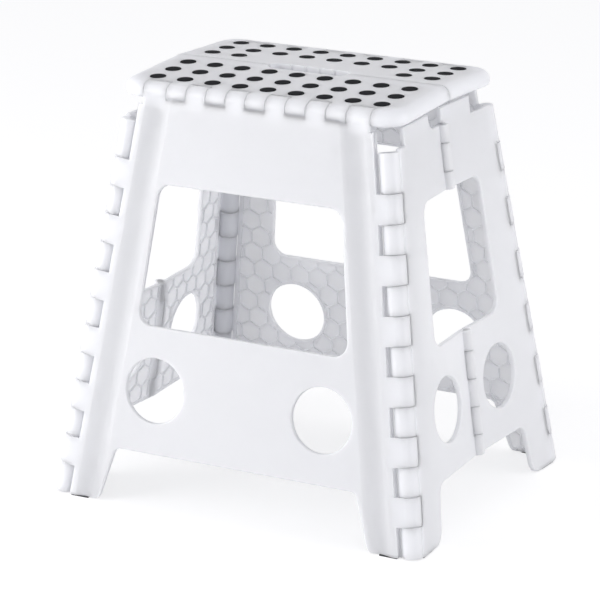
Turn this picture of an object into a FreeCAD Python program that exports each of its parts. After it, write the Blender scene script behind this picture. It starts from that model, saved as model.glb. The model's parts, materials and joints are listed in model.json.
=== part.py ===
"""Folding step stool in white moulded plastic, standing open on its eight feet.

Two leg panels, four side halves and two top halves are joined by pinned
knuckle hinges.  Lifting the seam of the top folds everything flat: the top
halves swing up, the legs come together and the side halves fold inwards.

World frame: X to the right, Y to the back, Z up, origin on the floor below
the middle of the seam.  Every panel is drawn in a frame of its own, with X
across, Y up the panel and Z outwards; Z = 0 is the plane of its hinge axes.
"""
import FreeCAD, Part
import Sketcher
import math
import os
from FreeCAD import Matrix, Placement, Rotation, Vector

SIZES = [
    ("total_height", 390, "floor to the seam of the open top"),
    ("foot_depth", 152, "half depth over the leg faces at the floor"),
    ("leg_splay", 7.7, "lean of each leg panel, degrees"),
    ("corner_reach", 179.5, "half width between the corner axes at the floor"),
    ("corner_splay", 8.14, "lean of the corner axes seen from the front, degrees"),
    ("side_bow", 3, "inward bow of a side half in the open stool, degrees"),
    ("top_rise", 2.26, "slope of each top half up to the seam, degrees"),
    ("hinge_depth", 9.8, "outer face of a panel to its hinge plane, and nose radius of the top"),
    ("panel_thick", 4.8, "thickness of a leg or side panel"),
    ("centre_proud", 0.4, "centre axis of a side outside the faces of its halves"),
    ("running_gap", 0.5, "radial room round a moving knuckle"),
    ("axial_gap", 0.25, "room at each end of a knuckle"),
    ("skin_wall", 3, "skin of the top over its cells"),
    ("panel_skin", 2.8, "skin of a leg or side panel over its cells"),
    ("border_wall", 2.6, "rim round a panel and its openings"),
    ("cell_rib", 1.7, "rib between two honeycomb cells"),
    ("cell_pitch", 20, "honeycomb cell to cell"),
    ("edge_round", 1.3, "rounding of the outer edges of a panel"),
    ("pin_radius", 1.6, "hinge pin"),
    ("pin_fit", 0.05, "radial running fit of a hinge pin"),
    ("loose_fit", 1.1, "radial room of a pin where the linkage closes"),
    ("pin_cover", 1, "plastic left over each end of a pin"),
    ("corner_first", 28.6, "lowest corner knuckle, floor to its top"),
    ("corner_pitch", 26.6, "corner knuckle to corner knuckle"),
    ("corner_drop", 26.8, "highest corner knuckle below the top pivot, along the axis"),
    ("corner_barrel", 9.3, "radius of a side half's corner knuckle"),
    ("corner_relief", 10, "leg edge cut back from the corner axis"),
    ("corner_lip", 1.5, "lip of the leg behind a side half's knuckle"),
    ("side_edge", 2.9, "side half edge from the corner axis"),
    ("arch_height", 51, "lower edge of the panels between the feet"),
    ("window_low", 169, "lower edge of the windows"),
    ("window_high", 299, "upper edge of the windows"),
    ("window_round", 13, "corner of the windows"),
    ("hole_radius", 30, "round hole in a panel"),
    ("hole_height", 110, "height of the round holes"),
    ("leg_foot_inner", 139.5, "inner edge of a leg foot from the middle"),
    ("leg_foot_flare", 16, "slant of a leg foot's inner edge"),
    ("leg_foot_round", 10, "inner lower corner of a leg foot"),
    ("leg_arch_round", 7, "corner of the arch between the leg feet"),
    ("leg_window_low", 107.5, "half width of the leg window at its foot"),
    ("leg_window_high", 92, "half width of the leg window at its head"),
    ("leg_hole_place", 85.5, "round hole of a leg from the middle"),
    ("leg_shoulder", 10.8, "leg shoulder below the top pivot"),
    ("flute_place", 29, "valley of a leg stile from the corner axis"),
    ("flute_width", 26, "width of that valley"),
    ("flute_depth", 1.5, "depth of that valley"),
    ("half_foot_width", 43.5, "side half foot at the floor"),
    ("half_foot_flare", 10, "slant of a side half foot's inner edge"),
    ("half_foot_round", 16, "inner lower corner of a side half foot"),
    ("half_arch_round", 11, "corner of the arch between the side feet"),
    ("half_window_low", 66, "side window at its foot, from the centre axis"),
    ("half_window_high", 56.5, "side window at its head, from the centre axis"),
    ("half_hole_place", 53.5, "round hole of a side half from the centre axis"),
    ("half_top_drop", 8.3, "upper edge of a side half below the top pivot"),
    ("half_shoulder_drop", 24.8, "shoulder of a side half below the top pivot"),
    ("shoulder_round", 3.5, "outer corner of that shoulder"),
    ("front_step", 12, "front shoulder, corner axis to the step"),
    ("rear_step", 38, "rear shoulder, corner axis to the step"),
    ("notch_drop", 22.8, "notch below the top's centre hinge, its floor below the top pivot"),
    ("notch_width", 26, "width of that notch"),
    ("notch_round", 9, "corner of that notch"),
    ("centre_gap", 0.6, "side half edge to the centre plane"),
    ("centre_barrel", 5.5, "radius of a side centre knuckle"),
    ("upper_end", 16.5, "end knuckles of the upper side hinge"),
    ("lower_end", 19.5, "end knuckles of the lower side hinge"),
    ("top_half_width", 141.5, "half width of the top"),
    ("top_corner", 23, "corner of the top in plan"),
    ("top_nose", 9.4, "rounding of the top's upper edge"),
    ("top_under", 4.2, "rounding of the top's lower edge"),
    ("skirt_drop", 4.5, "lower edge of the top below its pivots"),
    ("hinge_drop", 5.5, "centre pivot of the top below its outer pivots"),
    ("seam_gap", 0.25, "top half to the seam plane"),
    ("nose_half", 114, "half length of the top's outer hinges"),
    ("nose_end", 23.5, "end knuckles of those hinges"),
    ("nose_inner", 9, "number of knuckles between them"),
    ("ear_radius", 4.2, "centre knuckle of the top"),
    ("ear_gap", 1.2, "radial room round such a knuckle"),
    ("ear_start", 47, "inner end of a centre hinge of the top"),
    ("ear_end", 117, "outer end of a centre hinge of the top"),
    ("grip_half", 40, "half length of the hand slot"),
    ("grip_width", 9, "half width of the hand slot"),
    ("grip_groove", 1.2, "depth of the finger grooves"),
    ("grip_groove_width", 3, "width of a finger groove"),
    ("grip_pitch", 14.5, "finger groove to finger groove"),
    ("grip_grooves", 4, "number of finger grooves"),
    ("dot_radius", 7.4, "rubber dot"),
    ("dot_fit", 0.05, "room round a dot in its pocket"),
    ("dot_sink", 1, "depth of a dot's pocket"),
    ("dot_proud", 0.2, "dot above the top face"),
    ("dot_column", 28.25, "dot to dot along the seam"),
    ("dot_row", 26.9, "dot to dot across the seam"),
    ("dot_first", 21.7, "first row of dots from the seam"),
    ("dot_rows", 3, "rows of dots on a top half"),
    ("dot_side", 4, "dots in a row on each side of the middle one"),
    ("dot_clear", 2, "dots left out behind the slot on each side of the middle"),
    ("pad_thick", 1.2, "rubber foot pad"),
    ("pad_inset", 1, "pad inside the edge of its foot"),
]

# Lengths that follow from the closed linkage of the open stool.
LINKAGE = [
    ("corner_depth", "Sizes.foot_depth - Sizes.hinge_depth / cos(Sizes.leg_splay)"),
    ("leg_run", "tan(Sizes.leg_splay)"),
    ("leg_lean", "tan(Sizes.corner_splay) * cos(Sizes.leg_splay)"),
    ("bow_shift", "leg_run * tan(Sizes.side_bow) * cos(Sizes.corner_splay)"),
    ("bow_rest", "sqrt(1 - bow_shift * bow_shift)"),
    ("side_sin", "sin(Sizes.corner_splay) * bow_rest - cos(Sizes.corner_splay) * bow_shift"),
    ("side_cos", "cos(Sizes.corner_splay) * bow_rest + sin(Sizes.corner_splay) * bow_shift"),
    ("inner_face", "Sizes.hinge_depth - Sizes.panel_thick"),
    ("centre_depth", "Sizes.hinge_depth + Sizes.centre_proud"),
    ("bow_reach", "(sin(Sizes.side_bow) * corner_depth - centre_depth) / (cos(Sizes.side_bow) * side_cos)"),
    ("centre_reach", "Sizes.corner_reach - bow_reach"),
    ("half_width", "sin(Sizes.side_bow) * side_cos * bow_reach + cos(Sizes.side_bow) * corner_depth"),
    ("half_lift", "-side_sin * bow_reach"),
    ("half_across", "sin(Sizes.side_bow) * (side_cos * tan(Sizes.corner_splay) - side_sin)"
                    " + cos(Sizes.side_bow) * leg_run"),
    ("half_lean", "half_across / (side_sin * tan(Sizes.corner_splay) + side_cos)"),
    ("nose_height", "Sizes.total_height - Sizes.hinge_depth * cos(Sizes.top_rise)"),
    ("top_reach", "(corner_depth - leg_run * nose_height - Sizes.hinge_drop * sin(Sizes.top_rise))"
                  " / (cos(Sizes.top_rise) - leg_run * sin(Sizes.top_rise))"),
    ("pivot_height", "nose_height - top_reach * sin(Sizes.top_rise)"),
    ("pivot_depth", "corner_depth - leg_run * pivot_height"),
    ("leg_pivot", "pivot_height / cos(Sizes.leg_splay)"),
    ("axis_pivot", "leg_pivot * sqrt(1 + leg_lean * leg_lean)"),
    ("half_pivot", "axis_pivot / sqrt(1 + half_lean * half_lean) + half_lift"),
    ("corner_top", "axis_pivot - Sizes.corner_drop"),
    ("half_top", "half_pivot - Sizes.half_top_drop"),
    ("half_shoulder", "half_pivot - Sizes.half_shoulder_drop"),
    ("notch_floor", "half_pivot - Sizes.notch_drop"),
]

BORDER_AT_HINGE = "(Sizes.corner_relief + Sizes.border_wall)"
ALONG_X = Rotation(Vector(0, 1, 0), 90)
ALONG_Y = Rotation(Vector(1, 0, 0), -90)
HALF_TURN = Placement(Vector(0, 0, 0), Rotation(Vector(0, 0, 1), 180))
TINY = 1e-6
NEAR = 1e-3

doc = FreeCAD.newDocument("folding_step_stool")
parts = []


def fill_sheets():
    """Write the driving sizes and the linkage lengths into their two sheets."""
    sizes = doc.addObject("Spreadsheet::Sheet", "Sizes")
    for row, (alias, number, note) in enumerate(SIZES, 1):
        sizes.set("A%d" % row, note)
        sizes.set("B%d" % row, str(number))
        sizes.setAlias("B%d" % row, alias)
    doc.recompute()
    linkage = doc.addObject("Spreadsheet::Sheet", "Linkage")
    for row, (alias, formula) in enumerate(LINKAGE, 1):
        linkage.set("B%d" % row, "=" + formula)
        linkage.setAlias("B%d" % row, alias)
    doc.recompute()
    return sizes


def value(expression):
    """Number that an expression over the sheets gives."""
    return float(sizes_sheet.evalExpression(str(expression)))


def bind(thing, **expressions):
    """Bind properties of an object to expressions."""
    for name, expression in expressions.items():
        thing.setExpression(name, str(expression))
    return thing


def cylinder(name, radius, length, place):
    """Cylinder along Z of the placement."""
    thing = doc.addObject("Part::Cylinder", name)
    bind(thing, Radius=radius, Height=length)
    thing.Placement = place
    return thing


def block(name, length, width, height, place):
    """Box from the corner at the placement."""
    thing = doc.addObject("Part::Box", name)
    bind(thing, Length=length, Width=width, Height=height)
    thing.Placement = place
    return thing


def gather(name, things):
    """Group of separate solids."""
    group = doc.addObject("Part::Compound", name)
    group.Links = things
    return group


def join(name, things):
    """One solid from touching ones."""
    fused = doc.addObject("Part::MultiFuse", name)
    fused.Shapes = things
    fused.Refine = False
    return fused


def cut(name, base, tools):
    """Base less a group of tools."""
    result = doc.addObject("Part::Cut", name)
    result.Base = base
    result.Tool = gather(name + "_tools", tools)
    result.Refine = False
    return result


def finish(thing, label, place):
    """Name a finished sub-part and put it in the open stool."""
    thing.Label = label
    thing.Placement = place
    parts.append(thing)
    return thing


def at(x, y, z, turn=None):
    """Placement at a point given by expressions."""
    return Placement(Vector(value(x), value(y), value(z)), turn or Rotation())


def draw_loop(sketch, corners):
    """Closed polygon whose corners are pairs of expressions."""
    points = [Vector(value(x), value(y), 0) for x, y in corners]
    first = sketch.GeometryCount
    count = len(points)
    for index in range(count):
        sketch.addGeometry(Part.LineSegment(points[index], points[(index + 1) % count]), False)
    for index in range(count):
        following = first + (index + 1) % count
        sketch.addConstraint(Sketcher.Constraint("Coincident", first + index, 2, following, 1))
    for index, corner in enumerate(corners):
        for kind, expression in zip(("DistanceX", "DistanceY"), corner):
            pin_point(sketch, kind, first + index, 1, expression)


def draw_circle(sketch, x, y, radius):
    """Circle with its centre and radius given by expressions."""
    circle = Part.Circle(Vector(value(x), value(y), 0), Vector(0, 0, 1), value(radius))
    index = sketch.addGeometry(circle, False)
    pin_point(sketch, "DistanceX", index, 3, x)
    pin_point(sketch, "DistanceY", index, 3, y)
    number = sketch.addConstraint(Sketcher.Constraint("Radius", index, value(radius)))
    sketch.setExpression("Constraints[%d]" % number, str(radius))


def pin_point(sketch, kind, index, end, expression):
    """Hold a sketch point at a distance from the origin, whichever its sign."""
    distance = value(expression)
    if distance < 0:
        constraint = Sketcher.Constraint(kind, index, end, -1, 1, -distance)
        expression = "-(%s)" % expression
    else:
        constraint = Sketcher.Constraint(kind, -1, 1, index, end, distance)
    number = sketch.addConstraint(constraint)
    sketch.setExpression("Constraints[%d]" % number, str(expression))


def upright_edges(shape, corners):
    """Names of the edges along Z that stand on the given corners."""
    spots = [Vector(value(x), value(y), 0) for x, y in corners]
    names = []
    for number, edge in enumerate(shape.Edges, 1):
        start, end = edge.Vertexes[0].Point, edge.Vertexes[-1].Point
        if math.hypot(end.x - start.x, end.y - start.y) > TINY:
            continue
        if any(math.hypot(start.x - spot.x, start.y - spot.y) < NEAR for spot in spots):
            names.append("Edge%d" % number)
    return names


def flat_edges(shape, height, skip_y=None):
    """Names of the edges at one height, but for those along one line of Y."""
    names = []
    for number, edge in enumerate(shape.Edges, 1):
        points = [vertex.Point for vertex in edge.Vertexes]
        if any(abs(point.z - height) > NEAR for point in points):
            continue
        if skip_y is not None and all(abs(point.y - skip_y) < NEAR for point in points):
            continue
        names.append("Edge%d" % number)
    return names


def round_off(body, feature, edges, radius):
    """Fillet some edges of a body's last feature."""
    fillet = body.newObject("PartDesign::Fillet", feature.Name + "_round")
    fillet.Base = (feature, edges)
    bind(fillet, Radius=radius)
    doc.recompute()
    return fillet


def slab(name, loops, circles, base, depth):
    """Body padded from one sketch of polygons and circles."""
    body = doc.addObject("PartDesign::Body", name)
    plane = next(item for item in body.Origin.OriginFeatures if item.Role == "XY_Plane")
    sketch = body.newObject("Sketcher::SketchObject", name + "_outline")
    sketch.AttachmentSupport = [(plane, "")]
    sketch.MapMode = "FlatFace"
    sketch.setExpression("AttachmentOffset.Base.z", base)
    for loop in loops:
        draw_loop(sketch, loop)
    for circle in circles:
        draw_circle(sketch, *circle)
    pad = body.newObject("PartDesign::Pad", name + "_pad")
    pad.Profile = sketch
    bind(pad, Length=depth)
    doc.recompute()
    return body, pad


def panel_body(name, loops, circles, rounds):
    """Flat panel with rounded corners and a softened outer face."""
    body, feature = slab(name, loops, circles, "Linkage.inner_face", "Sizes.panel_thick")
    for corners, radius in rounds:
        feature = round_off(body, feature, upright_edges(feature.Shape, corners), radius)
    outer = flat_edges(feature.Shape, value("Sizes.hinge_depth"))
    round_off(body, feature, outer, "Sizes.edge_round")
    return body


def beside(wire, distance, larger):
    """Face inside a loop that runs at a distance from a wire, within it or around it."""
    faces = [Part.Face(wire.makeOffset2D(step)) for step in (distance, -distance)]
    faces.sort(key=lambda face: face.Area)
    return faces[1] if larger else faces[0]


def honeycomb(name, panel, inner, depth, corners):
    """Cells sunk into a panel from its inner face, inside a polygon and its rims."""
    pitch = value("Sizes.cell_pitch")
    radius = (pitch - value("Sizes.cell_rib")) / math.sqrt(3)
    wall = value("Sizes.border_wall")
    faces = [face for face in panel.Shape.Faces
             if face.BoundBox.ZLength < TINY and abs(face.BoundBox.ZMin - inner) < TINY]
    face = max(faces, key=lambda item: item.Area)
    spots = [Vector(value(x), value(y), inner) for x, y in corners]
    field = beside(face.OuterWire, wall, False).common(Part.Face(Part.makePolygon(spots + spots[:1])))
    openings = [wire for wire in face.Wires if not wire.isSame(face.OuterWire)]
    if openings:
        field = field.cut([beside(wire, wall, True) for wire in openings])
    box = field.BoundBox
    row_step = pitch * math.sqrt(3) / 2
    rows = math.ceil((box.YMax - box.YMin) / row_step / 2) + 1
    columns = math.ceil(max(abs(box.XMin), abs(box.XMax)) / pitch) + 1
    middle = (box.YMin + box.YMax) / 2
    cells = []
    for row in range(-rows, rows + 1):
        for column in range(-columns, columns + 1):
            centre = Vector((column + row % 2 / 2) * pitch, middle + row * row_step, inner)
            ring = [centre + Vector(radius * math.sin(math.radians(turn)),
                                    radius * math.cos(math.radians(turn)), 0)
                    for turn in range(0, 361, 60)]
            cells.append(Part.Face(Part.makePolygon(ring)))
    sunk = [cell.extrude(Vector(0, 0, depth)) for cell in field.common(cells).Faces
            if cell.Area > wall * wall]
    feature = doc.addObject("Part::Feature", name)
    feature.Shape = Part.makeCompound(sunk)
    return feature


def corner_bounds(owner):
    """Knuckle spans along a corner axis: the side halves' or the legs'."""
    first, pitch = value("Sizes.corner_first"), value("Sizes.corner_pitch")
    top = value("Linkage.corner_top")
    steps = int((top - first) / pitch)
    steps -= steps % 2
    marks = [0] + [first + step * pitch for step in range(steps)] + [top]
    spans = list(zip(marks, marks[1:]))
    return spans[0::2] if owner == "side" else spans[1::2]


def even_spans(low, high, end, inner_count):
    """Knuckle spans with two end knuckles of one length and even ones between."""
    step = (high - low - 2 * end) / inner_count
    marks = [low] + [low + end + index * step for index in range(inner_count + 1)] + [high]
    return list(zip(marks, marks[1:]))


def nose_spans():
    """Knuckle spans of a top half's outer hinge, the legs' first and last."""
    half, end = value("Sizes.nose_half"), value("Sizes.nose_end")
    return even_spans(-half, half, end, int(value("Sizes.nose_inner")))


def ear_spans(rear):
    """Knuckle spans of one top half along the centre hinges on both sides of the hand slot."""
    start, end = value("Sizes.ear_start"), value("Sizes.ear_end")
    right = even_spans(start, end, (end - start) / 3, 1)
    own = right[1::2] if rear else right[0::2]
    return own + [(-high, -low) for low, high in own]


def side_spans():
    """Knuckle spans of the upper and the lower side hinge, the F halves' first."""
    upper = even_spans(value("Sizes.window_high"), value("Linkage.notch_floor"),
                       value("Sizes.upper_end"), 1)
    lower = even_spans(value("Sizes.arch_height"), value("Sizes.window_low"),
                       value("Sizes.lower_end"), 3)
    return upper, lower


def knuckles(name, spans, radius, place, turn, gap):
    """Row of cylinders along an axis, each shortened or lengthened at its ends."""
    row = []
    for number, (low, high) in enumerate(spans, 1):
        length = "%.6f - 2 * (%s)" % (high - low, gap)
        start = place.multiply(Placement(turn.multVec(Vector(0, 0, low + value(gap))), turn))
        row.append(cylinder("%s_%d" % (name, number), radius, length, start))
    return row


def floor_tool(name, place):
    """Block that trims a panel where its rubber pad begins."""
    reach = value("Sizes.corner_reach")
    corner = Placement(Vector(-2 * reach, -2 * reach, -reach), Rotation())
    span = "4 * Sizes.corner_reach"
    return block(name, span, span, "Sizes.corner_reach + Sizes.pad_thick",
                 place.inverse().multiply(corner))


def leg_place():
    """Front leg in the open stool."""
    return Placement(Vector(0, -value("Linkage.corner_depth"), 0),
                     Rotation(Vector(1, 0, 0), 90 - value("Sizes.leg_splay")))


def half_place(front):
    """Right front or right rear half in the open stool."""
    bow = math.radians(value("Sizes.side_bow")) * (1 if front else -1)
    run, rise = value("Linkage.side_sin"), value("Linkage.side_cos")
    across = Vector(-math.sin(bow) * rise, math.cos(bow), -math.sin(bow) * run)
    up = Vector(-run, 0, rise)
    out = across.cross(up)
    base = Vector(value("Linkage.centre_reach"), 0, 0) - out * value("Linkage.centre_depth")
    frame = Matrix(across.x, up.x, out.x, base.x, across.y, up.y, out.y, base.y,
                   across.z, up.z, out.z, base.z, 0, 0, 0, 1)
    return Placement(frame)


def top_place():
    """Front top half in the open stool."""
    return Placement(Vector(0, -value("Linkage.pivot_depth"), value("Linkage.pivot_height")),
                     Rotation(Vector(1, 0, 0), value("Sizes.top_rise")))


def leg_corner(side):
    """Corner axis of a leg: Y runs up the axis, X points out of the leg."""
    lean = math.degrees(math.atan(value("Linkage.leg_lean")))
    foot = Vector(side * value("Sizes.corner_reach"), 0, 0)
    return Placement(foot, Rotation(Vector(0, 0, 1), side * lean))


def half_corner(side):
    """Corner axis of a side half whose corner lies on the given side in X."""
    lean = math.degrees(math.atan(value("Linkage.half_lean")))
    foot = Vector(side * value("Linkage.half_width"), value("Linkage.half_lift"), 0)
    return Placement(foot, Rotation(Vector(0, 0, 1), side * lean))


def socket_spans():
    """Spans along a corner axis where a leg is cut back for the side halves' knuckles."""
    spans = corner_bounds("side")
    spans[0] = (-value("Sizes.arch_height"), spans[0][1])
    spans[-1] = (spans[-1][0], value("Linkage.axis_pivot"))
    return spans


def leg_panel():
    """Leg panel with its windows, cells, corner tabs and top knuckles."""
    low = "Sizes.pad_thick - Sizes.pad_inset - Sizes.hinge_depth * sin(Sizes.leg_splay)"
    edge = "(Sizes.corner_reach - Linkage.leg_lean * (%s))"
    shoulder = "Linkage.leg_pivot - Sizes.leg_shoulder"
    arch = "Sizes.leg_foot_inner - Sizes.leg_foot_flare"
    right = [("Sizes.leg_foot_inner", low), (edge % low, low), (edge % shoulder, shoulder),
             ("Sizes.nose_half", shoulder), ("Sizes.nose_half", "Linkage.leg_pivot")]
    left = [("-(%s)" % x, y) for x, y in reversed(right)]
    crown = [("-(%s)" % arch, "Sizes.arch_height"), (arch, "Sizes.arch_height")]
    feet = [("Sizes.leg_foot_inner", low), ("-Sizes.leg_foot_inner", low)]
    window = [("Sizes.leg_window_low", "Sizes.window_low"),
              ("Sizes.leg_window_high", "Sizes.window_high")]
    window += [("-(%s)" % x, y) for x, y in reversed(window)]
    holes = [(x, "Sizes.hole_height", "Sizes.hole_radius") for x in
             ("Sizes.leg_hole_place", "-Sizes.leg_hole_place")]
    panel = panel_body("leg", [right + left + crown, window], holes,
                       [(crown, "Sizes.leg_arch_round"), (window, "Sizes.window_round"),
                        (feet, "Sizes.leg_foot_round")])

    inset = "(%s - %s)" % (edge, BORDER_AT_HINGE)
    head = "Linkage.leg_pivot - Sizes.hinge_depth - Sizes.border_wall - Sizes.running_gap"
    field = [(inset % "0", "0"), (inset % head, head)]
    field += [("-(%s)" % x, y) for x, y in reversed(field)]
    depth = value("Sizes.panel_thick - Sizes.panel_skin")
    cells = honeycomb("leg_cells", panel, value("Linkage.inner_face"), depth, field)
    tools = []
    tabs = []
    wide = "4 * Sizes.hinge_depth"
    lip = value("Linkage.inner_face + Sizes.corner_lip")
    flute = "(Sizes.flute_width * Sizes.flute_width / Sizes.flute_depth / 8 + Sizes.flute_depth / 2)"
    for side, word in ((1, "right"), (-1, "left")):
        corner = leg_corner(side)
        relief = value("Sizes.corner_relief")
        near = -relief if side > 0 else relief - value(wide)
        for number, (bottom, top) in enumerate(socket_spans(), 1):
            spot = corner.multiply(Placement(Vector(near, bottom, lip), Rotation()))
            length = "%.6f" % (top - bottom)
            tools.append(block("leg_%s_relief_%d" % (word, number), wide, length, wide, spot))
        tools += knuckles("leg_%s_socket" % word, socket_spans(),
                          "Sizes.corner_barrel + Sizes.running_gap", corner, ALONG_Y, "0")
        tabs += knuckles("leg_%s_tab" % word, corner_bounds("leg"), "Sizes.hinge_depth",
                         corner, ALONG_Y, "Sizes.axial_gap")
        valley = Vector(-side * value("Sizes.flute_place"), -value("Sizes.arch_height"),
                        value("Sizes.hinge_depth - Sizes.flute_depth + %s" % flute))
        tools.append(cylinder("leg_%s_flute" % word, flute, "2 * Sizes.total_height",
                              corner.multiply(Placement(valley, ALONG_Y))))
    hinge = at(0, "Linkage.leg_pivot", 0)
    tools += knuckles("leg_nose_relief", nose_spans()[1::2], "Sizes.hinge_depth + Sizes.running_gap",
                      hinge, ALONG_X, "-Sizes.axial_gap")
    tabs += knuckles("leg_nose", nose_spans()[0::2], "Sizes.hinge_depth", hinge, ALONG_X, "Sizes.axial_gap")
    plain = cut("leg_plain", panel, tools)
    whole = join("leg_whole", [plain] + tabs)

    bore = "Sizes.pin_radius + Sizes.pin_fit"
    bores = [cylinder("leg_nose_bore", bore, "2 * (Sizes.nose_half - Sizes.pin_cover)",
                      at("Sizes.pin_cover - Sizes.nose_half", "Linkage.leg_pivot", 0, ALONG_X))]
    for side, word in ((1, "right"), (-1, "left")):
        bores.append(cylinder("leg_%s_bore" % word, bore, "Linkage.corner_top",
                              leg_corner(side).multiply(Placement(Vector(), ALONG_Y))))
    bored = cut("leg_bored", whole, bores + [floor_tool("leg_floor", leg_place())])
    return cut("leg_celled", bored, [cells])


def half_panel(name, side, spans_own, spans_other):
    """Side half whose corner lies on one side in X, before its centre bores, and its cells."""
    low = ("Linkage.half_lift + Sizes.pad_thick - Sizes.pad_inset"
           " - Sizes.hinge_depth * Linkage.side_sin")

    def corner(height, offset):
        """Distance from the centre axis of a point beside the corner axis."""
        return "%d * (Linkage.half_width - Linkage.half_lean * (%s - Linkage.half_lift) - %s)" % (
            side, height, offset)

    def across(distance):
        """Point at a distance from the centre axis."""
        return "%d * (%s)" % (side, distance)

    centre = across("Sizes.centre_gap")
    foot = across("Linkage.half_width - Sizes.half_foot_width")
    arch = across("Linkage.half_width - Sizes.half_foot_width - Sizes.half_foot_flare")
    window = [(across("Sizes.half_window_low"), "Sizes.window_low"),
              (across("Sizes.half_window_high"), "Sizes.window_high")]
    step = "Sizes.front_step" if side < 0 else "Sizes.rear_step"
    head = [(centre, "Linkage.half_top")]
    notch = [(across("Sizes.notch_width"), "Linkage.notch_floor")]
    if side < 0:
        head = [(centre, "Linkage.notch_floor")] + notch
        head.append((across("Sizes.notch_width"), "Linkage.half_top"))
    shoulder = [(corner("Linkage.half_top", step), "Linkage.half_top"),
                (corner("Linkage.half_top", step), "Linkage.half_shoulder"),
                (corner("Linkage.half_shoulder", "Sizes.side_edge"), "Linkage.half_shoulder")]
    outline = [(corner(low, "Sizes.side_edge"), low), (foot, low), (arch, "Sizes.arch_height"),
               (centre, "Sizes.arch_height"), (centre, "Sizes.window_low")] + window
    outline += [(centre, "Sizes.window_high")] + head + shoulder
    hole = (across("Sizes.half_hole_place"), "Sizes.hole_height", "Sizes.hole_radius")
    rounds = [([(arch, "Sizes.arch_height")], "Sizes.half_arch_round"), (window, "Sizes.window_round"),
              ([(foot, low)], "Sizes.half_foot_round"), (shoulder[-1:], "Sizes.shoulder_round")]
    if side < 0:
        rounds.append((notch, "Sizes.notch_round"))
    panel = panel_body(name, [outline], [hole], rounds)

    near = across("Sizes.centre_barrel + Sizes.running_gap + Sizes.border_wall")
    roof = "Linkage.half_top - Sizes.hinge_depth"
    field = [(corner("0", BORDER_AT_HINGE), "0"), (corner(roof, BORDER_AT_HINGE), roof),
             (near, roof), (near, "0")]
    depth = value("Sizes.panel_thick - Sizes.panel_skin")
    cells = honeycomb(name + "_cells", panel, value("Linkage.inner_face"), depth, field)
    axis = half_corner(side)
    tools = knuckles(name + "_tab_relief", corner_bounds("leg"), "Sizes.hinge_depth + Sizes.running_gap",
                     axis, ALONG_Y, "-Sizes.axial_gap")
    hinge = at(0, 0, "Linkage.centre_depth")
    tools += knuckles(name + "_centre_relief", spans_other, "Sizes.centre_barrel + Sizes.running_gap",
                      hinge, ALONG_Y, "-Sizes.axial_gap")
    tools.append(cylinder(name + "_nose_relief", "Sizes.hinge_depth + 2 * Sizes.running_gap",
                          "2 * Linkage.half_width",
                          at("-Linkage.half_width", "Linkage.half_pivot", 0, ALONG_X)))
    plain = cut(name + "_plain", panel, tools)
    barrels = knuckles(name + "_corner", corner_bounds("side"), "Sizes.corner_barrel",
                       axis, ALONG_Y, "Sizes.axial_gap")
    barrels += knuckles(name + "_centre", spans_own, "Sizes.centre_barrel",
                        hinge, ALONG_Y, "Sizes.axial_gap")
    whole = join(name + "_whole", [plain] + barrels)
    bore = cylinder(name + "_corner_bore", "Sizes.pin_radius + Sizes.pin_fit", "Linkage.corner_top",
                    axis.multiply(Placement(Vector(), ALONG_Y)))
    return cut(name + "_bored", whole, [bore, floor_tool(name + "_floor", half_place(side < 0))]), cells


def centre_bores(name, fit):
    """Bores of the upper and the lower side hinge, with a given radial room."""
    bores = []
    for word, spans in zip(("upper", "lower"), side_spans()):
        start = spans[0][0] + value("Sizes.pin_cover")
        length = "%.6f - 2 * Sizes.pin_cover" % (spans[-1][1] - spans[0][0])
        bores.append(cylinder("%s_%s_bore" % (name, word), "Sizes.pin_radius + %s" % fit, length,
                              at(0, "%.6f" % start, "Linkage.centre_depth", ALONG_Y)))
    return bores


def dot_places(rear):
    """Dots of a top half in even rows, less those at the hand slot in the rear."""
    places = []
    side, clear = int(value("Sizes.dot_side")), value("Sizes.dot_clear")
    for row in range(int(value("Sizes.dot_rows"))):
        for column in range(-side, side + 1):
            if rear and row == 0 and abs(column) <= clear:
                continue
            places.append(("%d * Sizes.dot_column" % column,
                           "Linkage.top_reach - Sizes.dot_first - %d * Sizes.dot_row" % row))
    return places


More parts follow.
